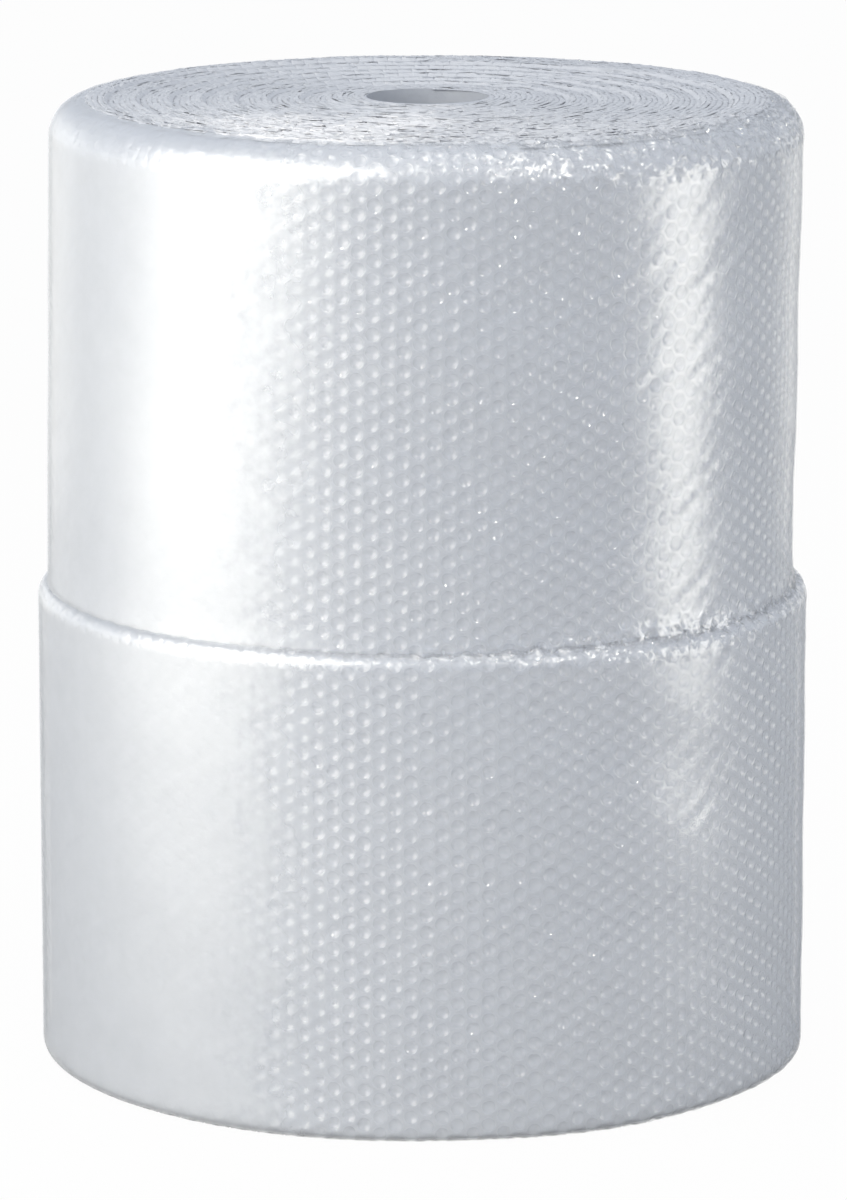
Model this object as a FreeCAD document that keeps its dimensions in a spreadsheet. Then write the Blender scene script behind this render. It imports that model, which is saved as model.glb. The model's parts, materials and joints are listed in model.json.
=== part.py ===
import FreeCAD, Part
import Sketcher
import math
import os

# A roll of small-bubble film, slit across its width, so that two short rolls
# stand one on the other round one open bore. The origin is at the centre of the
# foot, +Z runs up the bore, and the front is towards -Y.
#
# Each roll is wound as a true two-centre spiral. Its left half turns about the
# bore, and its right half about a line half a turn's thickness nearer the front,
# so that the halves meet in front and the film's free end is a step behind. The
# wound turns show the same way on the end faces, as spiral terraces on top and
# as a spiral groove below.

# Driving sizes in millimetres: name, value, what it is.
SIZES = [
    ("film_width", 305, "width of each slit length of film"),
    ("upper_diameter", 475, "upper roll over its bubbles"),
    ("lower_diameter", 490, "lower roll over its bubbles"),
    ("bore_diameter", 76, "open bore through both rolls"),
    ("turn_thickness", 3.4, "one wound turn of film, seen at its free end"),
    ("top_rounding", 24, "slumped edge round the top of the upper roll"),
    ("top_bands", 3, "flat bands that the slumped edge falls in"),
    ("shoulder_rounding", 10, "edge of the lower roll below the upper one"),
    ("shoulder_bands", 2, "flat bands of that edge"),
    ("foot_rounding", 7, "edge that the lower roll stands on"),
    ("foot_bands", 2, "flat bands of that edge"),
    ("face_margin", 7, "plain band beside the bore and the rounded edge"),
    ("turns_per_terrace", 6, "turns in one terrace of the top face"),
    ("terrace_depth", 2.4, "step from one terrace to the next"),
    ("terrace_crest", 0.4, "highest line of a terrace, below the top face"),
    ("turns_per_groove", 15, "turns between two rounds of the foot's groove"),
    ("groove_width", 3.6, "groove between turns, at the foot"),
    ("groove_depth", 2.4, "groove between turns, into the foot"),
    ("column_spacing", 9.5, "from one column of bubbles to the next"),
    ("columns_per_furrow", 2, "columns of bubbles between two furrows"),
    ("furrow_width", 3.6, "furrow between columns, at the bubbles' tops"),
    ("furrow_depth", 2.4, "furrow between columns, below their tops"),
    ("furrow_margin", 4, "plain band between a furrow and the roll's edges"),
]

ORIGIN_POINT = (-1, 1)


def make_sheet(doc):
    """Spreadsheet with one aliased cell for each driving size."""
    sheet = doc.addObject("Spreadsheet::Sheet", "Sizes")
    for row, (name, value, meaning) in enumerate(SIZES, start=1):
        sheet.set(f"A{row}", name)
        sheet.set(f"B{row}", str(value))
        sheet.set(f"C{row}", meaning)
        sheet.setAlias(f"B{row}", name)
    doc.recompute()


def add_sketch(body, name, role, offsets):
    """Sketch on an origin plane of the body, moved by expressions along its axes."""
    plane = next(f for f in body.Origin.OriginFeatures if f.Role == role)
    sketch = body.newObject("Sketcher::SketchObject", name)
    sketch.AttachmentSupport = [(plane, "")]
    sketch.MapMode = "FlatFace"
    for axis, expression in offsets.items():
        sketch.setExpression(f"AttachmentOffset.Base.{axis}", expression)
    return sketch


def read(item, expression):
    """Number that an expression gives now."""
    return float(item.evalExpression(expression))


def add_line(sketch, start, end, construction=False):
    """Straight edge between two points of the sketch."""
    segment = Part.LineSegment(FreeCAD.Vector(*start, 0), FreeCAD.Vector(*end, 0))
    return sketch.addGeometry(segment, construction)


def join(sketch, kind, *elements):
    """Constraint with no size of its own, such as Coincident or Horizontal."""
    sketch.addConstraint(Sketcher.Constraint(kind, *elements))


def bind(sketch, kind, elements, expression):
    """Dimension that follows the sheet through an expression."""
    value = read(sketch, expression)
    if kind == "Angle":
        value = math.radians(value)
    index = sketch.addConstraint(Sketcher.Constraint(kind, *elements, value))
    sketch.setExpression(f"Constraints[{index}]", expression)


def roll_halves(radius):
    """Halves of a roll: name, place of the centre along Y, radius, sense of turn."""
    half_turn = "Sizes.turn_thickness / 2"
    return [
        ("left", "0", radius, False),
        ("right", f"-{half_turn}", f"({radius} - {half_turn})", True),
    ]


def draw_rounding(sketch, centre, radius, start_degrees, bands):
    """Quarter turn of equal flat bands, with their ends on an arc: arc and bands."""
    size = read(sketch, radius)
    count = int(read(sketch, bands))
    start = math.radians(start_degrees)
    axis = FreeCAD.Vector(0, 0, 1)
    circle = Part.Circle(FreeCAD.Vector(*centre, 0), axis, size)
    quarter = Part.ArcOfCircle(circle, start, start + math.pi / 2)
    arc = sketch.addGeometry(quarter, True)
    points = []
    for number in range(count + 1):
        angle = start + math.pi / 2 * number / count
        across = centre[0] + size * math.cos(angle)
        up = centre[1] + size * math.sin(angle)
        points.append((across, up))
    lines = [add_line(sketch, *ends) for ends in zip(points, points[1:])]
    for line, following in zip(lines, lines[1:]):
        join(sketch, "Coincident", line, 2, following, 1)
        join(sketch, "PointOnObject", line, 2, arc)
        join(sketch, "Equal", line, following)
    join(sketch, "Coincident", lines[0], 1, arc, 1)
    join(sketch, "Coincident", lines[-1], 2, arc, 2)
    bind(sketch, "Radius", (arc,), radius)
    return arc, lines


def draw_section(sketch, radius, low, high):
    """Half section of a roll from its axis outwards; low and high are its edges."""
    outer = read(sketch, radius)
    height = read(sketch, "Sizes.film_width")
    top = read(sketch, high["rounding"])
    bottom = read(sketch, low["rounding"]) if low else 0

    foot = add_line(sketch, (0, 0), (outer - bottom, 0))
    side = add_line(sketch, (outer, bottom), (outer, height - top))
    face = add_line(sketch, (outer - top, height), (0, height))
    axis = add_line(sketch, (0, height), (0, 0))
    join(sketch, "Horizontal", foot)
    join(sketch, "Horizontal", face)
    join(sketch, "Vertical", side)
    join(sketch, "Vertical", axis)
    join(sketch, "Coincident", foot, 1, *ORIGIN_POINT)
    join(sketch, "Coincident", axis, 2, *ORIGIN_POINT)
    join(sketch, "Coincident", face, 2, axis, 1)

    centre = (outer - top, height - top)
    arc, _ = draw_rounding(sketch, centre, high["rounding"], 0, high["bands"])
    join(sketch, "Tangent", side, 2, arc, 1)
    join(sketch, "Tangent", arc, 2, face, 1)
    if low:
        centre = (outer - bottom, bottom)
        arc, _ = draw_rounding(sketch, centre, low["rounding"], -90, low["bands"])
        join(sketch, "Tangent", foot, 2, arc, 1)
        join(sketch, "Tangent", arc, 2, side, 1)
    else:
        join(sketch, "Coincident", foot, 2, side, 1)
    bind(sketch, "DistanceX", (*ORIGIN_POINT, side, 1), radius)
    bind(sketch, "DistanceY", (*ORIGIN_POINT, axis, 1), "Sizes.film_width")


def turn_half(body, half, low, high):
    """Half of the wound roll, as its section turned through half a circle."""
    name, centre, radius, reverse = half
    sketch = add_sketch(body, f"{name}_section", "YZ_Plane", {"x": centre})
    draw_section(sketch, radius, low, high)
    turned = body.newObject("PartDesign::Revolution", f"{name}_half")
    turned.Profile = sketch
    turned.ReferenceAxis = (sketch, ["V_Axis"])
    turned.Angle = 180
    turned.Reversed = reverse


def cut_bore(body):
    """Open bore up the middle of the roll."""
    sketch = add_sketch(body, "bore_circle", "XY_Plane", {})
    radius = "Sizes.bore_diameter / 2"
    centre = FreeCAD.Vector(0, 0, 0)
    axis = FreeCAD.Vector(0, 0, 1)
    circle = sketch.addGeometry(Part.Circle(centre, axis, read(sketch, radius)), False)
    join(sketch, "Coincident", circle, 3, *ORIGIN_POINT)
    bind(sketch, "Radius", (circle,), radius)
    bore = body.newObject("PartDesign::Pocket", "bore")
    bore.Profile = sketch
    bore.Type = "ThroughAll"
    bore.Reversed = True


def draw_outline(sketch, corners):
    """Closed outline; a corner is its distance across, its height and that's sign."""
    points = []
    for across, height, sign in corners:
        points.append((read(sketch, across), sign * read(sketch, height)))
    ends = zip(points, points[1:] + points[:1])
    lines = [add_line(sketch, *pair) for pair in ends]
    for line, following in zip(lines, lines[1:] + lines[:1]):
        join(sketch, "Coincident", line, 2, following, 1)
    for line, (across, height, sign) in zip(lines, corners):
        bind(sketch, "DistanceX", (*ORIGIN_POINT, line, 1), across)
        if sign > 0:
            bind(sketch, "DistanceY", (*ORIGIN_POINT, line, 1), height)
        else:
            bind(sketch, "DistanceY", (line, 1, *ORIGIN_POINT), height)


def draw_terraces(sketch, start, pitch, count):
    """Saw-toothed cut for the top face, from its outermost step inwards."""
    depth = "Sizes.terrace_depth"
    corners = [(start, depth, 1)]
    for number in range(count):
        step = f"{start} - {number} * {pitch}"
        crest = f"{start} - {number + 1} * {pitch}"
        corners.append((step, depth, -1))
        corners.append((crest, "Sizes.terrace_crest", -1))
    corners.append((f"{start} - {count} * {pitch}", depth, 1))
    draw_outline(sketch, corners)


def draw_grooves(sketch, start, pitch, count):
    """V notches for the foot, from the outermost inwards."""
    depth = "Sizes.groove_depth"
    width = "Sizes.groove_width"
    for number in range(count):
        middle = f"{start} - {number} * {pitch}"
        mouth = [(f"{middle} - {width}", depth, -1), (f"{middle} + {width}", depth, -1)]
        draw_outline(sketch, mouth + [(middle, depth, 1)])


def cut_spiral(body, face, level, edge, pitch, draw):
    """Spiral cut in an end face: two sets of half rings, half a pitch off centre."""
    start = f"({edge} - Sizes.face_margin)"
    end = "(Sizes.bore_diameter / 2 + Sizes.face_margin)"
    rounds = int(read(body, f"({start} - {end}) / ({pitch})"))
    inset = f"({start} - {pitch} / 2)"
    halves = [
        ("left", "0", start, rounds, False),
        ("right", f"-{pitch} / 2", inset, rounds - 1, True),
    ]
    for name, centre, outermost, count, reverse in halves:
        if count < 1:
            continue
        offsets = {"x": centre, "y": level}
        sketch = add_sketch(body, f"{name}_{face}_notches", "YZ_Plane", offsets)
        draw(sketch, outermost, pitch, count)
        groove = body.newObject("PartDesign::Groove", f"{name}_{face}_turns")
        groove.Profile = sketch
        groove.ReferenceAxis = (sketch, ["V_Axis"])
        groove.Angle = 180
        groove.Reversed = reverse


def draw_furrow(sketch, radius, angle):
    """Notch of a furrow, pointing at the roll's axis from one direction."""
    outer = read(sketch, radius)
    width = read(sketch, "Sizes.furrow_width")
    depth = read(sketch, "Sizes.furrow_depth")
    turn = math.radians(read(sketch, angle))

    def place(distance, side):
        across = distance * math.cos(turn) - side * math.sin(turn)
        up = distance * math.sin(turn) + side * math.cos(turn)
        return across, up

    bottom = place(outer - depth, 0)
    ends = [place(outer + depth, side) for side in (-width, width)]
    spoke = add_line(sketch, (0, 0), bottom, construction=True)
    reach = add_line(sketch, bottom, place(outer + depth, 0), construction=True)
    mouth = add_line(sketch, *ends)
    first = add_line(sketch, ends[1], bottom)
    second = add_line(sketch, bottom, ends[0])
    join(sketch, "Coincident", spoke, 1, *ORIGIN_POINT)
    join(sketch, "Coincident", spoke, 2, reach, 1)
    join(sketch, "Parallel", spoke, reach)
    join(sketch, "Coincident", mouth, 2, first, 1)
    join(sketch, "Coincident", first, 2, spoke, 2)
    join(sketch, "Coincident", second, 1, spoke, 2)
    join(sketch, "Coincident", second, 2, mouth, 1)
    join(sketch, "Symmetric", mouth, 1, mouth, 2, reach, 2)
    join(sketch, "Perpendicular", mouth, reach)
    bind(sketch, "Angle", (spoke,), angle)
    bind(sketch, "Distance", (spoke,), f"{radius} - Sizes.furrow_depth")
    bind(sketch, "Distance", (reach,), "2 * Sizes.furrow_depth")
    bind(sketch, "Distance", (mouth,), "2 * Sizes.furrow_width")


def cut_furrows(body, half, low, high):
    """Upright furrows between the columns of bubbles, round half of the roll."""
    name, centre, radius, reverse = half
    spacing = "(Sizes.column_spacing * Sizes.columns_per_furrow)"
    furrows = f"round(pi * {radius} / {spacing})"
    sign = "-" if reverse else "+"
    below = low["rounding"] if low else "0"
    start = f"{below} + Sizes.furrow_margin"
    end = f"Sizes.film_width - {high['rounding']} - Sizes.furrow_margin"
    offsets = {"y": centre, "z": start}
    sketch = add_sketch(body, f"{name}_furrow_notch", "XY_Plane", offsets)
    draw_furrow(sketch, radius, f"90 {sign} 90 / {furrows}")
    furrow = body.newObject("PartDesign::Pocket", f"{name}_furrow")
    furrow.Profile = sketch
    furrow.Reversed = True
    furrow.setExpression("Length", f"{end} - ({start})")
    body.Document.recompute()
    pattern = body.newObject("PartDesign::PolarPattern", f"{name}_furrows")
    pattern.Originals = [furrow]
    pattern.Axis = (sketch, ["N_Axis"])
    pattern.Reversed = reverse
    pattern.setExpression("Occurrences", furrows)
    pattern.setExpression("Angle", f"180 * (1 - 1 / {furrows})")
    body.Tip = pattern


def start_roll(doc, name, radius, low, high):
    """One slit length of the film, wound round the bore, before its turns are cut."""
    body = doc.addObject("PartDesign::Body", name)
    body.Label = name
    for half in roll_halves(radius):
        turn_half(body, half, low, high)
    doc.recompute()
    cut_bore(body)
    return body


def make_lower_roll(doc):
    """Lower roll, which stands on its grooved foot."""
    radius = "Sizes.lower_diameter / 2"
    low = {"rounding": "Sizes.foot_rounding", "bands": "Sizes.foot_bands"}
    high = {"rounding": "Sizes.shoulder_rounding", "bands": "Sizes.shoulder_bands"}
    body = start_roll(doc, "lower_roll", radius, low, high)
    edge = f"{radius} - Sizes.turn_thickness - Sizes.foot_rounding"
    pitch = "Sizes.turns_per_groove * Sizes.turn_thickness"
    cut_spiral(body, "foot", "0", edge, pitch, draw_grooves)
    doc.recompute()
    for half in roll_halves(radius):
        cut_furrows(body, half, low, high)
    return body


def make_upper_roll(doc):
    """Upper roll, which stands on the lower one and has terraces on top."""
    radius = "Sizes.upper_diameter / 2"
    high = {"rounding": "Sizes.top_rounding", "bands": "Sizes.top_bands"}
    body = start_roll(doc, "upper_roll", radius, None, high)
    edge = f"{radius} - Sizes.turn_thickness - Sizes.top_rounding"
    pitch = "Sizes.turns_per_terrace * Sizes.turn_thickness"
    cut_spiral(body, "top", "Sizes.film_width", edge, pitch, draw_terraces)
    doc.recompute()
    for half in roll_halves(radius):
        cut_furrows(body, half, None, high)
    body.setExpression("Placement.Base.z", "Sizes.film_width")
    return body


def check(doc, bodies):
    """Stops before anything is written if an object failed or a cut was lost."""
    for item in doc.Objects:
        if "Invalid" in item.State or "Error" in item.State:
            raise RuntimeError(f"{item.Name} failed: {item.State}")
    for body in bodies:
        shape = body.Shape
        if shape.isNull() or not shape.isValid() or len(shape.Solids) != 1:
            raise RuntimeError(f"{body.Label} is not one sound solid")
        features = [f for f in body.Group if f.isDerivedFrom("PartDesign::Feature")]
        for before, feature in zip(features[1:], features[2:]):
            if not feature.Shape.Volume < before.Shape.Volume:
                raise RuntimeError(f"{body.Label}: {feature.Name} cut nothing")


def main():
    doc = FreeCAD.newDocument("bubble_wrap_roll")
    make_sheet(doc)
    bodies = [make_lower_roll(doc), make_upper_roll(doc)]
    doc.recompute()
    check(doc, bodies)
    os.makedirs("parts", exist_ok=True)
    for body in bodies:
        body.Shape.exportStep(f"parts/{body.Label}.step")
        print(body.Label, "volume", round(body.Shape.Volume), "mm3")


main()
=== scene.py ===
import json
import math

import bmesh
import bpy
import numpy as np
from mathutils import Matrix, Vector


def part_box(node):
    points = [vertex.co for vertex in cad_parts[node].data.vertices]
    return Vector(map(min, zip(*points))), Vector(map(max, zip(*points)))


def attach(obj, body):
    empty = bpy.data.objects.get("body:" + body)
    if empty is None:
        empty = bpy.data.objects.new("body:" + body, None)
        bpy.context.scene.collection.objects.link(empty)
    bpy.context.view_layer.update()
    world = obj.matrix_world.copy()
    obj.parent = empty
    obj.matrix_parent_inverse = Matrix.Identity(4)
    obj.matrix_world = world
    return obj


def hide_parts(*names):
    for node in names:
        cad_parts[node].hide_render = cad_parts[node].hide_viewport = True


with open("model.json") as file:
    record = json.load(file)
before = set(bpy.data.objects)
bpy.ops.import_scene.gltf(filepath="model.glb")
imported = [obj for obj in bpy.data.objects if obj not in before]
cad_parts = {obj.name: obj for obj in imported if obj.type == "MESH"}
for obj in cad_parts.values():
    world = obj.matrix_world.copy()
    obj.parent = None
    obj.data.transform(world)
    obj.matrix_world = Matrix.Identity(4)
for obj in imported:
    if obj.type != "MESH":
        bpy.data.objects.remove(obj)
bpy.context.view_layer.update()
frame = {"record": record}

bpy.ops.object.select_all(action="DESELECT")   # load leaves the CAD nodes selected


# Picking, moving and finishing meshes

def pickVerts(test):   # in edit mode, selects the vertices that pass the test
    bpy.ops.mesh.select_mode(type="VERT")
    bpy.ops.mesh.select_all(action="DESELECT")
    mesh = bpy.context.object.data
    edit = bmesh.from_edit_mesh(mesh)
    for vert in edit.verts:
        if test(vert.co):
            vert.select = True
    edit.select_flush(True)
    bmesh.update_edit_mesh(mesh)


def pickEdges(test):   # in edit mode, selects the edges whose two ends pass the test
    bpy.ops.mesh.select_mode(type="EDGE")
    bpy.ops.mesh.select_all(action="DESELECT")
    mesh = bpy.context.object.data
    edit = bmesh.from_edit_mesh(mesh)
    for edge in edit.edges:
        if all(test(vert.co) for vert in edge.verts):
            edge.select = True
    edit.select_flush_mode()
    bmesh.update_edit_mesh(mesh)


def pickRim(test):   # in edit mode, selects open edges whose two ends pass the test
    bpy.ops.mesh.select_mode(type="EDGE")
    bpy.ops.mesh.select_all(action="DESELECT")
    mesh = bpy.context.object.data
    edit = bmesh.from_edit_mesh(mesh)
    for edge in edit.edges:
        if edge.is_boundary and all(test(vert.co) for vert in edge.verts):
            edge.select = True
    edit.select_flush_mode()
    bmesh.update_edit_mesh(mesh)


def editMode(on):
    bpy.ops.object.mode_set(mode="EDIT" if on else "OBJECT")


def copiesAlong(obj, step, count):   # merged copies in a row
    array = obj.modifiers.new("row", "ARRAY")
    array.count = count
    array.use_relative_offset = False
    array.use_constant_offset = True
    array.constant_offset_displace = step
    array.use_merge_vertices = True
    array.merge_threshold = 1e-5
    bpy.ops.object.modifier_apply(modifier=array.name)


def cutSheet(point, normal):   # trims everything past the plane
    bpy.ops.mesh.select_all(action="SELECT")
    bpy.ops.mesh.bisect(plane_co=point, plane_no=normal, clear_outer=True)


def readPoints(obj):
    points = np.zeros(len(obj.data.vertices) * 3, np.float32)
    obj.data.vertices.foreach_get("co", points)
    return points.reshape(-1, 3).astype(float)


def writePoints(obj, points):
    obj.data.vertices.foreach_set("co", points.astype(np.float32).ravel())
    obj.data.update()


def mapFromPoints(obj, points, name="filmMap"):   # UV in metres of flat film
    layer = obj.data.uv_layers.new(name=name)
    corners = np.zeros(len(obj.data.loops), np.int32)
    obj.data.loops.foreach_get("vertex_index", corners)
    layer.uv.foreach_set("vector", points[corners][:, :2].astype(np.float32).ravel())


def smoothPiece(obj, angle=60):
    bpy.ops.object.select_all(action="DESELECT")
    obj.select_set(True)
    bpy.context.view_layer.objects.active = obj
    bpy.ops.object.shade_smooth_by_angle(angle=math.radians(angle))


# Sizes that the frame gives

lowerLow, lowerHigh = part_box("lower_roll")
upperLow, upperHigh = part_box("upper_roll")
bore = next(m for m in frame["record"]["mounts"] if m["name"] == "bore")
boreRadius = bore["dims"]["r_mm"] / 1000

film = {
    "rowPitch": 0.0110,        # from one bubble to the next in a column, up the roll
    "turn": 0.0034,            # thickness of one wound turn
    "bulge": 0.00018,          # of the smooth outer film over each bubble
    "bulgeRadius": 0.0046,
    "land": 0.0005,            # the bubbles' film lies this far under the outer one
    "ringRadius": 0.0047,      # mouth of a bubble, which points inwards
    "crownRadius": 0.0034,     # where its side turns into its bottom
    "crownDepth": 0.0022,
    "bubbleDepth": 0.0028,
    "core": 0.0060,            # the turns beneath, as one surface
}
film["columnPitch"] = film["rowPitch"] * math.sqrt(3) / 2

lowerRoll = {
    "name": "lower",
    "radius": -lowerLow.x,
    "foot": lowerLow.z,
    "top": lowerHigh.z,
    "footRounding": 0.007,
    "topRounding": 0.010,
    "footTuck": 0.006,         # film that runs on inwards past each rounding
    "topTuck": 0.016,
    "coreReach": 0.0,          # how much lower the turns beneath reach
    "footSlack": 0.0,          # height of side that crumples at the foot
    "topPleat": 0.0013,
    "footPleat": 0.0004,
    "footFlare": 0.0,
    "shift": 0.0,              # foot of the roll from the axis, to the right
    "skew": 0.0,               # and how it leans
    "seed": 3,
}
upperRoll = {
    "name": "upper",
    "radius": -upperLow.x,
    "foot": upperLow.z,
    "top": upperHigh.z,
    "footRounding": 0.0,
    "topRounding": 0.024,
    "footTuck": 0.0055,
    "topTuck": 0.005,
    "coreReach": 0.008,
    "footSlack": 0.014,
    "topPleat": 0.0012,
    "footPleat": 0.0006,
    "footFlare": 0.0024,
    "shift": -0.0016,
    "skew": 0.0140,
    "seed": 8,
}


# Winding: flat film, along x from its free end, on to the two-centre spiral

def windFilm(along, out, outerRadius):
    turn = film["turn"]
    count = int(2 * (outerRadius - boreRadius) / turn) + 2
    radii = outerRadius - np.arange(count) * turn / 2
    starts = np.concatenate([[0], np.cumsum(math.pi * radii)[:-1]])
    half = np.clip(np.searchsorted(starts, along, side="right") - 1, 0, count - 1)
    odd = half % 2
    angle = math.pi / 2 + odd * math.pi + (along - starts[half]) / radii[half]
    reach = radii[half] + out
    return reach * np.cos(angle), reach * np.sin(angle) - odd * turn / 2, angle


def leanRoll(points, roll):   # a wound roll is never quite square
    points[:, 0] += roll["shift"] + (points[:, 2] - roll["foot"]) * roll["skew"]
    return points


def turnStart(outerRadius, halves):   # length of film outside that many half turns
    radii = outerRadius - np.arange(halves) * film["turn"] / 2
    return float(np.sum(math.pi * radii))


def ripples(u, v, seed, waves):   # fixed sum of waves: height, length, slant of their crests
    draw = np.random.default_rng(seed)
    total = np.zeros_like(u)
    for height, length, slant in waves:
        for _ in range(5):
            wave = length * draw.uniform(0.7, 1.4)
            lean = math.radians(slant + draw.uniform(-16, 16))
            phase = draw.uniform(0, 2 * math.pi)
            run = v * math.cos(lean) - u * math.sin(lean)
            total += height / 2.2 * np.sin(2 * math.pi * run / wave + phase)
    return total


# The sheets of film, flat at first: one six-sided patch for each bubble

def addPatch():
    corner = film["rowPitch"] / math.sqrt(3)
    turned = (0, 0, math.pi / 2)
    bpy.ops.mesh.primitive_circle_add(vertices=6, radius=corner, rotation=turned)
    patch = bpy.context.object
    bpy.ops.object.transform_apply(location=False, rotation=True, scale=False)
    return patch


def makeBulge():   # smooth outer film, a little raised over a bubble
    patch = addPatch()
    editMode(True)
    bpy.ops.mesh.primitive_circle_add(
        vertices=12, radius=film["bulgeRadius"], fill_type="TRIFAN", rotation=(0, 0, math.pi / 2))
    pickEdges(lambda co: co.xy.length > film["bulgeRadius"] * 0.98)
    bpy.ops.mesh.bridge_edge_loops()
    pickVerts(lambda co: co.xy.length < film["bulgeRadius"] * 1.02)
    bpy.ops.transform.translate(value=(0, 0, film["bulge"] * 0.12))
    pickVerts(lambda co: co.xy.length < 1e-4)
    bpy.ops.transform.translate(value=(0, 0, film["bulge"] * 0.88))
    bpy.ops.mesh.select_all(action="SELECT")
    bpy.ops.mesh.normals_make_consistent(inside=False)
    editMode(False)
    return patch


def makeBubble():   # bubble film, seen from its open side
    patch = addPatch()
    turned = (0, 0, math.pi / 2)
    editMode(True)
    bpy.ops.mesh.primitive_circle_add(vertices=10, radius=film["ringRadius"], rotation=turned)
    bpy.ops.mesh.select_mode(type="EDGE")
    bpy.ops.mesh.select_all(action="SELECT")
    bpy.ops.mesh.bridge_edge_loops()
    bpy.ops.mesh.primitive_circle_add(
        vertices=6, radius=film["crownRadius"], fill_type="TRIFAN",
        location=(0, 0, film["land"] - film["crownDepth"]), rotation=turned)
    ring = film["ringRadius"]
    crown = film["crownRadius"]
    pickEdges(lambda co: crown * 0.9 < co.xy.length < ring * 1.02)
    bpy.ops.mesh.bridge_edge_loops()
    pickVerts(lambda co: co.xy.length < 1e-4)
    bpy.ops.transform.translate(value=(0, 0, film["crownDepth"] - film["bubbleDepth"]))
    bpy.ops.mesh.select_all(action="SELECT")
    bpy.ops.transform.translate(value=(0, 0, -film["land"]))
    bpy.ops.mesh.normals_make_consistent(inside=False)
    editMode(False)
    return patch


def spreadPatch(sheet, length, low, high):   # flat film from x = 0, trimmed all round
    rows = int((high - low) / film["rowPitch"]) + 3
    pairs = int(length / film["columnPitch"] / 2) + 2
    copiesAlong(sheet, (film["columnPitch"], film["rowPitch"] / 2, 0), 2)
    copiesAlong(sheet, (0, film["rowPitch"], 0), rows)
    copiesAlong(sheet, (2 * film["columnPitch"], 0, 0), pairs)
    editMode(True)
    bpy.ops.mesh.select_all(action="SELECT")
    bpy.ops.transform.translate(value=(-film["columnPitch"], low - film["rowPitch"], 0))
    bpy.ops.mesh.remove_doubles(threshold=1e-5)
    cutSheet((0, 0, 0), (-1, 0, 0))
    cutSheet((length, 0, 0), (1, 0, 0))
    cutSheet((0, low, 0), (0, -1, 0))
    cutSheet((0, high, 0), (0, 1, 0))
    bpy.ops.mesh.select_all(action="SELECT")
    bpy.ops.mesh.normals_make_consistent(inside=False)
    editMode(False)


def makePlainSheet(length, low, high):   # the turns beneath, plain but finely divided
    bpy.ops.mesh.primitive_plane_add(size=1, location=(length / 2, (low + high) / 2, -film["core"]))
    sheet = bpy.context.object
    sheet.scale = (length, high - low, 1)
    bpy.ops.object.transform_apply(location=True, rotation=False, scale=True)
    editMode(True)
    for part in range(1, 160):
        bpy.ops.mesh.select_all(action="SELECT")
        bpy.ops.mesh.bisect(plane_co=(length * part / 160, 0, 0), plane_no=(1, 0, 0))
    for part in range(1, 40):
        bpy.ops.mesh.select_all(action="SELECT")
        bpy.ops.mesh.bisect(plane_co=(0, low + (high - low) * part / 40, 0), plane_no=(0, 1, 0))
    editMode(False)
    return sheet


# Their shape on a roll: curled in over its rounded edges, slack and creased

skinLook = {
    "sag": (0.0005, 0.120, -20),     # height, length and slant of the wide waves
    "crease": (0.00011, 0.032, 42),  # and of the slanting creases
    "fold": (0.00015, 0.013, 38),
    "calm": 0.2,                     # share of the waves on the tighter left side
    "crumple": 0.0008,               # at the roundings and the seam
    "dent": 0.0004,                  # of a bubble's bottom, any way
    "slack": 0.35,                   # share that a bubble's depth may lack
    "closed": 0.0016,                # depth of all layers where they close up
    "sink": 0.0016,                  # of the film's top edge into the wound turns
    "overlap": 0.024,                # film that runs on under the free end
}


def bendOverEdges(points, roll):   # (out, height) of the flat film's (y, z)
    side = roll["top"] - roll["foot"] - roll["topRounding"] - roll["footRounding"]
    y, z = points[:, 1], points[:, 2]
    out = z.copy()
    level = roll["foot"] + roll["footRounding"] + y
    arc = roll["topRounding"]
    bend = np.clip((y - side) / arc, 0, math.pi / 2)
    past = np.maximum(y - side - arc * math.pi / 2, 0)
    over = y > side
    out[over] = ((arc + z) * np.cos(bend) - arc - past)[over]
    level[over] = (roll["top"] - arc + (arc + z) * np.sin(bend))[over]
    if roll["footRounding"] > 0:
        arc = roll["footRounding"]
        bend = np.clip(-y / arc, 0, math.pi / 2)
        past = np.maximum(-y - arc * math.pi / 2, 0)
        under = y < 0
        out[under] = ((arc + z) * np.cos(bend) - arc - past)[under]
        level[under] = (roll["foot"] + arc - (arc + z) * np.sin(bend))[under]
    return out, level


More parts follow.
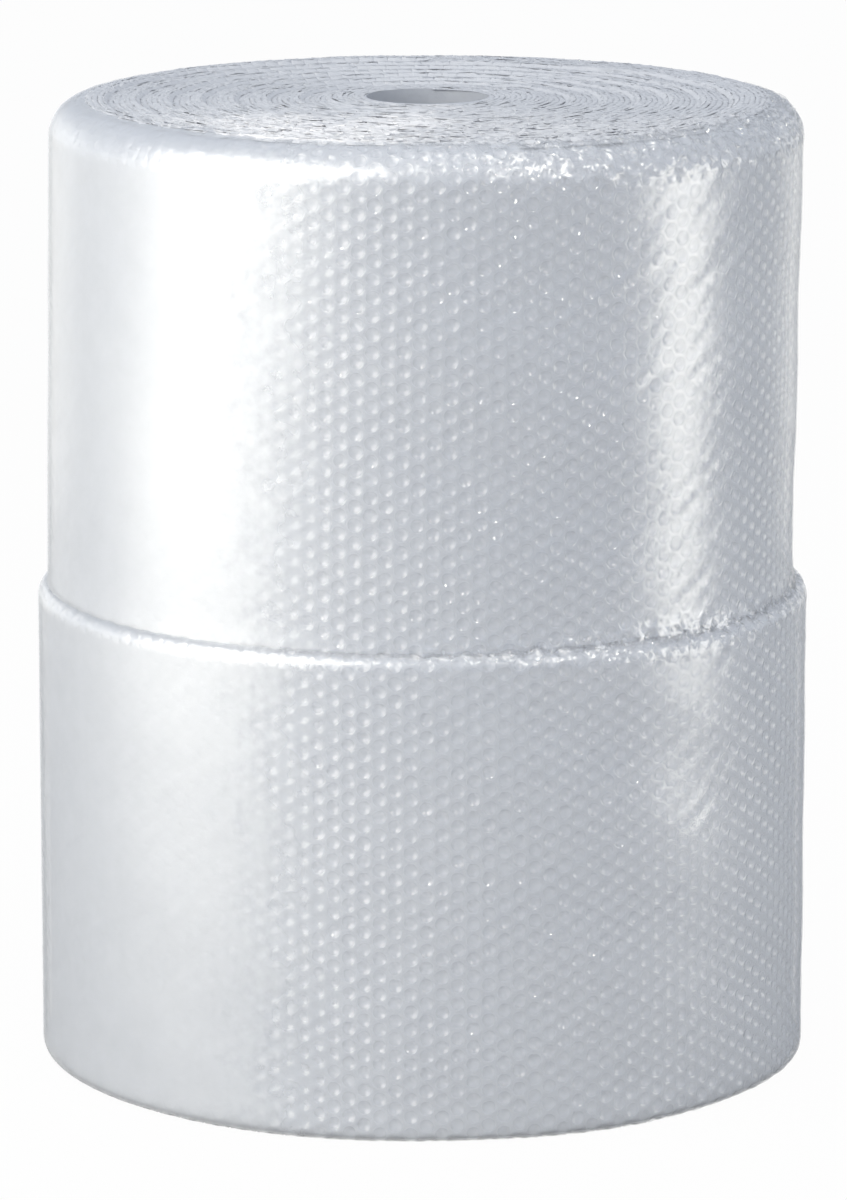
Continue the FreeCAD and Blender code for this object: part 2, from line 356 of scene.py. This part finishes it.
def wrapSheet(sheet, roll, low, high):
    side = roll["top"] - roll["foot"] - roll["topRounding"] - roll["footRounding"]
    flat = readPoints(sheet)
    mapFromPoints(sheet, flat)
    if sheet.name.endswith("Bubbles"):
        depth = sheet.data.attributes.new("depth", "FLOAT", "POINT")
        share = np.clip(-flat[:, 2] / film["bubbleDepth"], 0, 1)
        depth.data.foreach_set("value", share.astype(np.float32))
    u, v = flat[:, 0], flat[:, 1]
    draw = np.random.default_rng(roll["seed"])
    column = np.round(u / film["columnPitch"]).astype(int)
    row = np.round((v - low) / film["rowPitch"] - 0.5 * (column % 2)).astype(int)
    slack = draw.random((column.max() + 3, row.max() + 5)) ** 2
    aside, behind, _ = windFilm(u, 0, roll["radius"])
    aside = aside / roll["radius"]
    behind = behind / roll["radius"]
    still = 1 - 0.75 * np.clip(behind * 1.5, 0, 1)
    deep = flat[:, 2] < -film["land"] - 1e-5
    if sheet.name.endswith("Bubbles"):
        flat[deep, 2] *= 1 - skinLook["slack"] * slack[column[deep], row[deep]]
        dents = draw.normal(size=(int(deep.sum()), 3)).clip(-1.5, 1.5) * skinLook["dent"]
        flat[deep] += dents * (1 - 0.8 * np.clip(aside[deep] * 5 - 2.5, 0, 1))[:, None]
    waves = [skinLook["sag"], skinLook["crease"], skinLook["fold"]]
    lift = ripples(u, v, roll["seed"], waves)
    loose = skinLook["calm"] + (1 - skinLook["calm"]) * np.clip(aside * 1.5 + 0.42 + np.clip(behind * 2, 0, 0.8), 0, 1)
    lift *= loose
    if sheet.name.endswith("Film"):
        flat[:, 2] *= 0.3 + 0.7 * loose
    pleat = ripples(u, v * 0.3, roll["seed"] + 20, [(1.0, 0.021, 98), (0.6, 0.009, 78)])
    topEnd = np.clip((v - side) / roll["topRounding"] / 1.5, 0, 1)
    slackFrom = roll["footSlack"]
    footEnd = np.clip((v - slackFrom) / (low - slackFrom), 0, 1)
    ending = topEnd ** 1.2 * roll["topPleat"] + footEnd ** 1.3 * roll["footPleat"]
    nearTop = np.clip((v - side + 0.008) / 0.016, 0, 1)
    crumple = draw.normal(size=len(u)).clip(-1.5, 1.5) * skinLook["crumple"] * loose ** 1.4 * still
    pinch = np.maximum(topEnd, footEnd * (roll["footSlack"] > 0))   # the layers close up
    if roll["footRounding"] > 0:
        pinch = np.maximum(pinch, np.clip((0.010 - v) / 0.012, 0, 1))
    flat[:, 2] = np.maximum(flat[:, 2], -film["core"] + pinch * (film["core"] - skinLook["closed"]))
    flat[:, 2] += np.minimum(lift, 0.0004) - 0.0004 + (pleat - 0.3) * ending * loose * still
    flat[:, 2] += crumple * np.maximum(nearTop, footEnd * (roll["footSlack"] > 0))
    flat[:, 2] += footEnd ** 2 * roll["footFlare"] * loose
    flat[:, 2] -= np.clip((v - high + 0.005) / 0.005, 0, 1) * skinLook["sink"]
    out, level = bendOverEdges(flat, roll)
    across, back, _ = windFilm(u, out, roll["radius"])
    level = np.maximum(level, lowerRoll["foot"])
    writePoints(sheet, leanRoll(np.column_stack([across, back, level]), roll))
    smoothPiece(sheet, 75)


def makeSkin(roll):   # outer film, bubbles and the turns beneath
    side = roll["top"] - roll["foot"] - roll["topRounding"] - roll["footRounding"]
    high = side + roll["topRounding"] * math.pi / 2 + roll["topTuck"]
    low = -roll["footRounding"] * math.pi / 2 - roll["footTuck"]
    length = turnStart(roll["radius"], 2) + skinLook["overlap"]
    outer = makeBulge()
    outer.name = roll["name"] + "Film"
    spreadPatch(outer, length, low, high)
    bubbles = makeBubble()
    bubbles.name = roll["name"] + "Bubbles"
    spreadPatch(bubbles, length, low, high)
    core = makePlainSheet(length, low - roll["coreReach"], high + 0.008)
    core.name = roll["name"] + "Turns"
    for sheet in (outer, bubbles, core):
        wrapSheet(sheet, roll, low, high)
    return outer, bubbles, core


# The cut ends of the wound turns, seen on an end face: one cut bubble, in rows

terraces = {"turns": 6, "low": 0.0024, "high": 0.0004, "margin": 0.007}    # on top
grooves = {"turns": 15, "depth": 0.0024, "width": 0.0018, "margin": 0.007}  # in the foot


def countTurns(across, back, edge, look):   # along its spiral, and the most there are
    pitch = look["turns"] * film["turn"]
    start = edge - look["margin"] - film["turn"]
    inset = np.hypot(across, back + pitch / 2) + pitch / 2
    reach = np.where(across < 0, np.hypot(across, back), inset)
    rounds = int((start - boreRadius - look["margin"]) / pitch)
    return (start - reach) / pitch, np.where(across < 0, rounds, rounds - 1), pitch


def terraceLevel(across, back, roll):
    turns, most, pitch = countTurns(across, back, roll["radius"] - roll["topRounding"], terraces)
    rise = 1 / terraces["turns"]        # each step slopes over one turn
    part = turns % 1
    fall = np.where(part < rise, part / rise, (1 - part) / (1 - rise))
    drop = terraces["high"] + (terraces["low"] - terraces["high"]) * fall
    return -drop * np.clip(turns / rise, 0, 1) * np.clip((most - turns) / rise, 0, 1)


def grooveLevel(across, back, roll):
    turns, most, pitch = countTurns(across, back, roll["radius"] - roll["footRounding"], grooves)
    gap = np.abs(turns - np.round(turns)) * pitch
    inside = (turns > -0.1) & (turns < most - 0.5)
    return np.where(inside, grooves["depth"] * np.clip(1 - gap / grooves["width"], 0, 1), 0)


faceLook = {
    "depth": 0.0003,          # how far one sees into a cut bubble, pressed flat on top
    "footDepth": 0.0022,      # and open in the foot
    "arch": 0.0024,           # height of its arch over the base film
    "rough": 0.00014,         # how unevenly the turns end
    "crumple": 0.0002,
    "torn": 1.5,              # more of it towards the front
    "bedDepth": 0.0009,       # of the surface that closes the gaps between turns
    "bedAround": 128,
    "bedRings": 60,
}


def makeCutBubble():   # x along the film, y through its thickness, z up
    pitch = film["columnPitch"]
    turn = film["turn"]
    bpy.ops.mesh.primitive_circle_add(vertices=8, radius=pitch * 0.47, fill_type="TRIFAN")
    cell = bpy.context.object
    editMode(True)
    bpy.ops.mesh.select_all(action="SELECT")
    bpy.ops.transform.resize(value=(1, 2 * faceLook["arch"] / pitch, 1))
    pickVerts(lambda co: co.y > 1e-5)
    bpy.ops.transform.resize(value=(1.25, 0.02, 1), center_override=(0, 0, 0))
    bpy.ops.mesh.select_all(action="SELECT")
    bpy.ops.transform.translate(value=(0, -0.0004, 0))
    bpy.ops.mesh.primitive_plane_add(size=1, location=(0, -turn / 2, -faceLook["depth"]))
    bpy.ops.transform.resize(value=(pitch, turn, 1))
    bpy.ops.mesh.delete(type="ONLY_FACE")
    pickRim(lambda co: co.z > -1e-5)
    mesh = cell.data
    edit = bmesh.from_edit_mesh(mesh)
    for edge in edit.edges:
        if all(vert.co.z < -1e-4 for vert in edge.verts):
            edge.select = True
    edit.select_flush_mode()
    bmesh.update_edit_mesh(mesh)
    bpy.ops.mesh.bridge_edge_loops()
    pickVerts(lambda co: abs(co.x) < 1e-4 and -0.0012 < co.y < -1e-4 and co.z > -1e-5)
    bpy.ops.transform.translate(value=(0, -0.0006, -faceLook["depth"]))
    bpy.ops.mesh.select_all(action="SELECT")
    bpy.ops.mesh.normals_make_consistent(inside=False)
    editMode(False)
    return cell


def addBed(ends, roll, face):   # the bubbles' films below the cut edges, as one surface
    inner = boreRadius + 0.0015
    outer = roll["radius"] - (roll["topRounding"] if face == "top" else roll["footRounding"])
    bpy.ops.mesh.primitive_circle_add(vertices=faceLook["bedAround"], radius=inner)
    bed = bpy.context.object
    editMode(True)
    bpy.ops.mesh.select_all(action="SELECT")
    radius = inner
    for ring in range(1, faceLook["bedRings"] + 1):
        wider = inner + (outer - inner) * ring / faceLook["bedRings"]
        bpy.ops.mesh.extrude_region_move()
        bpy.ops.transform.resize(value=(wider / radius, wider / radius, 1))
        radius = wider
    bpy.ops.mesh.select_all(action="SELECT")
    bpy.ops.mesh.normals_make_consistent(inside=False)
    editMode(False)
    facing = sum(face.normal.z for face in bed.data.polygons)
    if (facing > 0) != (face == "top"):
        editMode(True)
        bpy.ops.mesh.flip_normals()
        editMode(False)
    flat = readPoints(bed)
    mapFromPoints(bed, flat)
    if face == "top":
        flat[:, 2] = roll["top"] + terraceLevel(flat[:, 0], flat[:, 1], roll) - faceLook["bedDepth"]
    else:
        bottom = roll["foot"] + faceLook["footDepth"] * 1.2
        flat[:, 2] = bottom + grooveLevel(flat[:, 0], flat[:, 1], roll)
    writePoints(bed, leanRoll(flat, roll))
    bpy.ops.object.select_all(action="DESELECT")
    bed.select_set(True)
    ends.select_set(True)
    bpy.context.view_layer.objects.active = ends
    bpy.ops.object.join()


def makeTurnEnds(roll, name, face, edgeRadius):
    base = roll["radius"]
    halves = int(math.ceil((base - edgeRadius) / film["turn"] * 2))
    last = int((base - boreRadius) / film["turn"] * 2) - 1
    start = turnStart(base, halves)
    length = turnStart(base, last) - start
    ends = makeCutBubble()
    ends.name = name
    copiesAlong(ends, (film["columnPitch"], 0, 0), int(length / film["columnPitch"]))
    flat = readPoints(ends)
    mapFromPoints(ends, flat)
    along = flat[:, 0] + start + film["columnPitch"] / 2
    across, back, angle = windFilm(along, flat[:, 1], base)
    reach = np.hypot(across, back)
    uneven = ripples(across, back, roll["seed"] + 5, [(1.0, 0.09, 110), (0.6, 0.03, 160)])
    comb = ripples(along, reach * 9, roll["seed"] + 6, [(0.7, 0.05, 100), (0.6, 0.013, 130)])
    relief = faceLook["rough"] * (uneven + comb)
    draw = np.random.default_rng(roll["seed"] + 7)
    if face == "top":
        flat[:, 2] *= draw.uniform(0.1, 1.6, len(flat))
    else:
        flat[:, 2] *= faceLook["footDepth"] / faceLook["depth"] * draw.uniform(0.8, 1.2, len(flat))
    shake = draw.normal(size=flat.shape).clip(-1.5, 1.5) * faceLook["crumple"]
    shake *= np.where(flat[:, 2] > -1e-4, 1, 0.2)[:, None]
    shake *= 1 + faceLook["torn"] * np.clip((-back - 0.05) / 0.08, 0, 1)[:, None]
    relief += shake[:, 2]
    across += shake[:, 0]
    back += shake[:, 1]
    if face == "top":
        under = np.clip((reach - roll["radius"] + roll["topRounding"]) / 0.006, 0, 1)
        level = roll["top"] + terraceLevel(across, back, roll) + flat[:, 2] + relief
        level -= 0.004 * under
    else:
        level = roll["foot"] + grooveLevel(across, back, roll) - flat[:, 2] + np.maximum(relief, 0)
    writePoints(ends, leanRoll(np.column_stack([across, back, level]), roll))
    if face != "top":
        bpy.ops.object.select_all(action="DESELECT")
        ends.select_set(True)
        bpy.context.view_layer.objects.active = ends
        editMode(True)
        bpy.ops.mesh.select_all(action="SELECT")
        bpy.ops.mesh.flip_normals()
        editMode(False)
    addBed(ends, roll, face)
    smoothPiece(ends, 100)
    return ends


# The bore: the inmost turn of each roll, with its smooth side inwards

boreLook = {"around": 96, "rings": 28, "wave": 0.0005, "rim": 0.007, "rimSink": 0.0012}


def makeBore(roll):
    depth = roll["top"] - roll["foot"]
    bpy.ops.mesh.primitive_cylinder_add(
        vertices=boreLook["around"], radius=boreRadius, depth=depth, end_fill_type="NOTHING",
        location=(0, 0, (roll["top"] + roll["foot"]) / 2))
    lining = bpy.context.object
    lining.name = roll["name"] + "Bore"
    bpy.ops.object.transform_apply(location=True, rotation=False, scale=False)
    editMode(True)
    for ring in range(1, boreLook["rings"]):
        height = roll["foot"] + depth * ring / boreLook["rings"]
        bpy.ops.mesh.select_all(action="SELECT")
        bpy.ops.mesh.bisect(plane_co=(0, 0, height), plane_no=(0, 0, 1))
    bpy.ops.mesh.select_all(action="SELECT")
    bpy.ops.mesh.flip_normals()
    end = roll["top"] if roll["topTuck"] < 0.01 else roll["foot"]
    pickRim(lambda co: abs(co.z - end) < 1e-4)   # a rim that closes the inmost turn
    bpy.ops.mesh.extrude_region_move()
    spread = (boreRadius + boreLook["rim"]) / boreRadius
    bpy.ops.transform.resize(value=(spread, spread, 1), center_override=(0, 0, end))
    sink = boreLook["rimSink"] * (-1 if end > 0 else 1)
    bpy.ops.transform.translate(value=(0, 0, sink))
    editMode(False)
    points = readPoints(lining)
    angle = np.arctan2(points[:, 1], points[:, 0])
    flat = np.column_stack([angle * boreRadius, points[:, 2]])
    mapFromPoints(lining, flat)
    wave = ripples(np.cos(angle) * 0.06, points[:, 2], roll["seed"] + 9, [(1.0, 0.07, 150)])
    grow = 1 + boreLook["wave"] * (np.abs(wave) + 0.5) / boreRadius
    points[:, 0] *= grow
    points[:, 1] *= grow
    writePoints(lining, leanRoll(points, roll))
    smoothPiece(lining)
    return lining


# Materials

filmLook = {
    "clear": 0.20,                    # share of light that the outer film gives back
    "cloudy": 0.46,                   # and on the tight left side
    "clearTint": (0.95, 0.97, 1.0),
    "clearRoughness": 0.38,
    "glossRoughness": 0.29,
    "bubbleCover": 0.42,
    "cloudyCover": 0.20,
    "bubbleLand": (0.575, 0.60, 0.645),  # between the bubbles
    "bubbleTint": (0.66, 0.685, 0.725),
    "bubbleRoughness": 0.10,
    "cloudyRoughness": 0.45,         # of the bubbles on the tight left side
    "bubbleIor": 1.85,                # several films, one in another, glint together
    "endDeep": (0.44, 0.46, 0.505),   # the cut ends of the turns
    "endPale": (0.53, 0.55, 0.59),
    # painted highlight: paler colour for the front of the cut ends, where the lamps' reflection falls
    "endPaintedHighlight": (0.66, 0.67, 0.70),
    "deep": (0.53, 0.56, 0.62),       # the turns beneath
    "pale": (0.65, 0.67, 0.71),
    # painted shade: the inmost turn is the same film as the turns, made darker for the shade inside the bore
    "boreShadeDeep": (0.36, 0.39, 0.44),
    "boreShadePale": (0.46, 0.48, 0.53),
}


def newMaterial(name):
    material = bpy.data.materials.new(name)
    material.use_nodes = True
    nodes = material.node_tree.nodes
    return material, nodes, material.node_tree.links, nodes["Principled BSDF"]


def addNoise(nodes, links, source, scale, detail=3.0):
    noise = nodes.new("ShaderNodeTexNoise")
    noise.inputs["Scale"].default_value = scale
    noise.inputs["Detail"].default_value = detail
    links.new(source, noise.inputs["Vector"])
    return noise.outputs["Fac"]


def addRange(nodes, links, value, low, high):
    spread = nodes.new("ShaderNodeMapRange")
    spread.inputs["From Min"].default_value = 0.25
    spread.inputs["From Max"].default_value = 0.75
    spread.inputs["To Min"].default_value = low
    spread.inputs["To Max"].default_value = high
    links.new(value, spread.inputs["Value"])
    return spread.outputs["Result"]


def addRamp(nodes, links, value, start, end, low, high):
    ramp = nodes.new("ShaderNodeMapRange")
    ramp.interpolation_type = "SMOOTHSTEP"
    ramp.inputs["From Min"].default_value = start
    ramp.inputs["From Max"].default_value = end
    ramp.inputs["To Min"].default_value = low
    ramp.inputs["To Max"].default_value = high
    links.new(value, ramp.inputs["Value"])
    return ramp.outputs["Result"]


def addSum(nodes, links, operation, first, second):
    both = nodes.new("ShaderNodeMath")
    both.operation = operation
    links.new(first, both.inputs[0])
    links.new(second, both.inputs[1])
    return both.outputs[0]


def addCloudy(nodes, links, place, noise):   # 1 on the tight front left, 0 elsewhere
    aside = addShift(nodes, links, place, "X", noise, 0.05)
    aside = addRamp(nodes, links, aside, -0.15, -0.04, 1, 0)
    front = addShift(nodes, links, place, "Y", noise, 0.05)
    front = addRamp(nodes, links, front, 0.0, 0.09, 1, 0)
    return addSum(nodes, links, "MULTIPLY", aside, front)


def addShift(nodes, links, place, axis, noise, spread):   # one coordinate, made ragged
    split = nodes.new("ShaderNodeSeparateXYZ")
    links.new(place, split.inputs[0])
    shift = addRange(nodes, links, noise, -spread / 2, spread / 2)
    return addSum(nodes, links, "ADD", split.outputs[axis], shift)


def addTint(nodes, links, value, first, second):
    tint = nodes.new("ShaderNodeMix")
    tint.data_type = "RGBA"
    tint.inputs["A"].default_value = (*first, 1)
    tint.inputs["B"].default_value = (*second, 1)
    links.new(value, tint.inputs["Factor"])
    return tint.outputs["Result"]


def addBump(nodes, links, shader, height, distance, strength=1.0):
    bump = nodes.new("ShaderNodeBump")
    bump.inputs["Strength"].default_value = strength
    bump.inputs["Distance"].default_value = distance
    links.new(height, bump.inputs["Height"])
    links.new(bump.outputs["Normal"], shader.inputs["Normal"])


def makeClearFilm():
    material, nodes, links, shader = newMaterial("clearFilm")
    place = nodes.new("ShaderNodeTexCoord").outputs["Object"]
    haze = addNoise(nodes, links, place, 60, 4)
    pale = filmLook["clearTint"]
    links.new(addTint(nodes, links, haze, tuple(c * 0.9 for c in pale), pale),
              shader.inputs["Base Color"])
    ragged = addShift(nodes, links, place, "X", haze, 0.05)
    hazy = filmLook["clearRoughness"]            # on the left, and glossy on the right
    aside = addRamp(nodes, links, ragged, -0.12, 0.12, hazy, filmLook["glossRoughness"])
    links.new(aside, shader.inputs["Roughness"])
    cloudy = addCloudy(nodes, links, place, haze)
    veil = addRamp(nodes, links, cloudy, 0, 1, filmLook["clear"], filmLook["cloudy"])
    links.new(veil, shader.inputs["Alpha"])
    wrinkle = addNoise(nodes, links, place, 420, 2)
    addBump(nodes, links, shader, wrinkle, 0.0002, 0.4)
    shader.inputs["Metallic"].default_value = 1
    return material


def makeBubbleFilm():
    material, nodes, links, shader = newMaterial("bubbleFilm")
    place = nodes.new("ShaderNodeTexCoord").outputs["Object"]
    haze = addNoise(nodes, links, place, 30, 4)
    depth = nodes.new("ShaderNodeAttribute")
    depth.attribute_name = "depth"
    share = depth.outputs["Fac"]
    color = addTint(nodes, links, share, filmLook["bubbleLand"], filmLook["bubbleTint"])
    links.new(color, shader.inputs["Base Color"])
    rough = filmLook["bubbleRoughness"]
    cloudy = addCloudy(nodes, links, place, haze)
    glint = addRamp(nodes, links, cloudy, 0, 1, rough, filmLook["cloudyRoughness"])
    links.new(glint, shader.inputs["Roughness"])
    few, many = filmLook["cloudyCover"], filmLook["bubbleCover"]
    cover = addRamp(nodes, links, cloudy, 0, 1, many, few)
    links.new(cover, shader.inputs["Alpha"])
    shader.inputs["Specular IOR Level"].default_value = 1.0
    shader.inputs["IOR"].default_value = filmLook["bubbleIor"]
    return material


def makeTurnsFilm(name, deep, pale, rough=0.25, paintedHighlight=None):
    material, nodes, links, shader = newMaterial(name)
    place = nodes.new("ShaderNodeTexCoord").outputs["Object"]
    cloud = addNoise(nodes, links, place, 9, 5)
    color = addTint(nodes, links, cloud, deep, pale)
    if paintedHighlight:    # painted highlight: the cut ends paler on the front, from left of the middle, where the lamps' reflection falls
        ragged = addNoise(nodes, links, place, 22, 6)
        front = addShift(nodes, links, place, "Y", ragged, 0.10)
        front = addRamp(nodes, links, front, -0.13, -0.04, 1, 0)
        aside = addShift(nodes, links, place, "X", ragged, 0.10)
        left = addRamp(nodes, links, aside, -0.17, -0.11, 0, 1)
        aside = addRamp(nodes, links, aside, -0.02, 0.04, 1, 0.35)
        aside = addSum(nodes, links, "MULTIPLY", left, aside)
        mix = nodes.new("ShaderNodeMix")
        mix.data_type = "RGBA"
        mix.inputs["B"].default_value = (*paintedHighlight, 1)
        links.new(addSum(nodes, links, "MULTIPLY", front, aside), mix.inputs["Factor"])
        links.new(color, mix.inputs["A"])
        color = mix.outputs["Result"]
    links.new(color, shader.inputs["Base Color"])
    grain = addNoise(nodes, links, place, 240)
    links.new(addRange(nodes, links, grain, rough, rough * 2), shader.inputs["Roughness"])
    addBump(nodes, links, shader, grain, 0.0006, 0.4)
    return material


# Stage: floor, white background, camera and lamps

stageLook = {
    "cameraDistance": 4.0,
    "cameraHeight": 1.117,
    "cameraDip": 11.71,            # degrees below level
    "lens": 192.7,                 # for 36 mm along the picture's long side
    "floorSize": 30,
    "ambient": (0.70, 0.74, 0.81),
    "floorTone": (0.50, 0.50, 0.50),
    "whiteShare": 0.97,            # of the floor that the camera sees as plain white
    "lampTint": (1.0, 0.955, 0.855),
    "keyPower": 2.6,
    "fillPower": 40,
    "leftRimPower": 3.4,          # the white backdrop, which lights the sides
    "rightRimPower": 3.0,
    "stripPower": 3.5,
    "lowPower": 1.3,
    "sidePower": 11,              # small lamps that make the bubbles glint
    "topPower": 8,
    "overPower": 4,
}


def aimAt(obj, point):
    to = np.array(point, float) - np.array(obj.location, float)
    flat = math.hypot(to[0], to[1])
    obj.rotation_euler = (math.pi / 2 + math.atan2(to[2], flat), 0, math.atan2(-to[0], to[1]))


def addSoftLamp(name, azimuth, distance, height, size, power, target):
    lamp = bpy.data.lights.new(name, "AREA")
    lamp.shape = "RECTANGLE"
    lamp.size, lamp.size_y = size
    lamp.energy = power
    lamp.color = stageLook["lampTint"]
    holder = bpy.data.objects.new(name, lamp)
    bpy.context.collection.objects.link(holder)
    turn = math.radians(azimuth)
    holder.location = (distance * math.sin(turn), -distance * math.cos(turn), height)
    aimAt(holder, target)


def makeStage():
    scene = bpy.context.scene
    lens = bpy.data.cameras.new("camera")
    lens.lens = stageLook["lens"]
    lens.sensor_width = 36
    camera = bpy.data.objects.new("camera", lens)
    bpy.context.collection.objects.link(camera)
    camera.location = (0, -stageLook["cameraDistance"], stageLook["cameraHeight"])
    camera.rotation_euler = (math.radians(90 - stageLook["cameraDip"]), 0, 0)
    scene.camera = camera
    scene.view_settings.view_transform = "Standard"

    bpy.ops.mesh.primitive_plane_add(size=stageLook["floorSize"])
    floor = bpy.context.object
    floor.name = "floor"
    material, nodes, links, shader = newMaterial("floorWhite")
    shader.inputs["Base Color"].default_value = (*stageLook["floorTone"], 1)
    shader.inputs["Roughness"].default_value = 0.9
    seen = nodes.new("ShaderNodeLightPath")
    white = nodes.new("ShaderNodeEmission")
    blend = nodes.new("ShaderNodeMixShader")
    share = nodes.new("ShaderNodeMath")
    share.operation = "MULTIPLY"
    share.inputs[1].default_value = stageLook["whiteShare"]
    links.new(seen.outputs["Is Camera Ray"], share.inputs[0])
    links.new(share.outputs[0], blend.inputs[0])
    links.new(shader.outputs[0], blend.inputs[1])
    links.new(white.outputs[0], blend.inputs[2])
    side = nodes.new("ShaderNodeNewGeometry")
    clear = nodes.new("ShaderNodeBsdfTransparent")
    under = nodes.new("ShaderNodeMixShader")
    links.new(side.outputs["Backfacing"], under.inputs[0])
    links.new(blend.outputs[0], under.inputs[1])
    links.new(clear.outputs[0], under.inputs[2])
    links.new(under.outputs[0], nodes["Material Output"].inputs["Surface"])
    floor.data.materials.append(material)

    world = bpy.data.worlds.new("studio")
    scene.world = world
    world.use_nodes = True
    nodes, links = world.node_tree.nodes, world.node_tree.links
    sky = nodes["Background"]
    sky.inputs["Color"].default_value = (*stageLook["ambient"], 1)
    seen = nodes.new("ShaderNodeLightPath")
    plain = nodes.new("ShaderNodeBackground")
    plain.inputs["Color"].default_value = (1, 1, 1, 1)
    choice = nodes.new("ShaderNodeMixShader")
    links.new(seen.outputs["Is Camera Ray"], choice.inputs[0])
    links.new(sky.outputs[0], choice.inputs[1])
    links.new(plain.outputs[0], choice.inputs[2])
    links.new(choice.outputs[0], nodes["World Output"].inputs["Surface"])

    middle = (0, 0, 0.33)
    addSoftLamp("keyLamp", -92, 1.7, 0.44, (1.8, 0.9), stageLook["keyPower"], middle)
    addSoftLamp("fillLamp", -54, 2.0, 1.25, (2.0, 1.8), stageLook["fillPower"], middle)
    addSoftLamp("leftRim", -140, 1.9, 0.5, (1.0, 1.1), stageLook["leftRimPower"], middle)
    addSoftLamp("rightRim", 145, 1.9, 0.5, (0.8, 1.1), stageLook["rightRimPower"], middle)
    addSoftLamp("stripLamp", 79, 1.5, 0.35, (0.46, 0.8), stageLook["stripPower"], middle)
    addSoftLamp("lowLamp", -66, 1.5, 0.16, (1.4, 0.25), stageLook["lowPower"], (0, 0, 0.16))
    addSoftLamp("sideSpark", 34, 2.4, 1.9, (0.09, 0.09), stageLook["sidePower"], middle)
    addSoftLamp("overSpark", 35, 0.7, 2.5, (0.12, 0.12), stageLook["overPower"], middle)
    addSoftLamp("topSpark", -22, 2.4, 2.0, (0.10, 0.10), stageLook["topPower"], middle)


makeStage()
print("stage ready")

clearFilm = makeClearFilm()
bubbleFilm = makeBubbleFilm()
turnsFilm = makeTurnsFilm("turnsFilm", filmLook["deep"], filmLook["pale"])
# painted highlight colour for the front of the cut ends
paintedHighlight = filmLook["endPaintedHighlight"]
endsFilm = makeTurnsFilm("endsFilm", filmLook["endDeep"], filmLook["endPale"], 0.3, paintedHighlight)
# painted shade: darker film for the bore lining
boreShadeFilm = makeTurnsFilm("boreShadeFilm", filmLook["boreShadeDeep"], filmLook["boreShadePale"])
rolls = [(lowerRoll, "lower_roll"), (upperRoll, "upper_roll")]
for roll, node in rolls:
    outer, bubbles, core = makeSkin(roll)
    outer.data.materials.append(clearFilm)
    bubbles.data.materials.append(bubbleFilm)
    core.data.materials.append(turnsFilm)
    print(roll["name"], "film ready")
    lining = makeBore(roll)
    lining.data.materials.append(boreShadeFilm)
    if roll is upperRoll:
        ends = makeTurnEnds(roll, "upperTurnEnds", "top", roll["radius"] - 0.018)
    else:
        ends = makeTurnEnds(roll, "lowerTurnEnds", "foot", roll["radius"] - 0.012)
    ends.data.materials.append(endsFilm)
    for piece in (outer, bubbles, core, lining, ends):   # together they are the wound roll
        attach(piece, "root")
        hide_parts(node)
        print(piece.name, sum(len(p.vertices) - 2 for p in piece.data.polygons), "triangles")
    print(roll["name"], "roll ready")
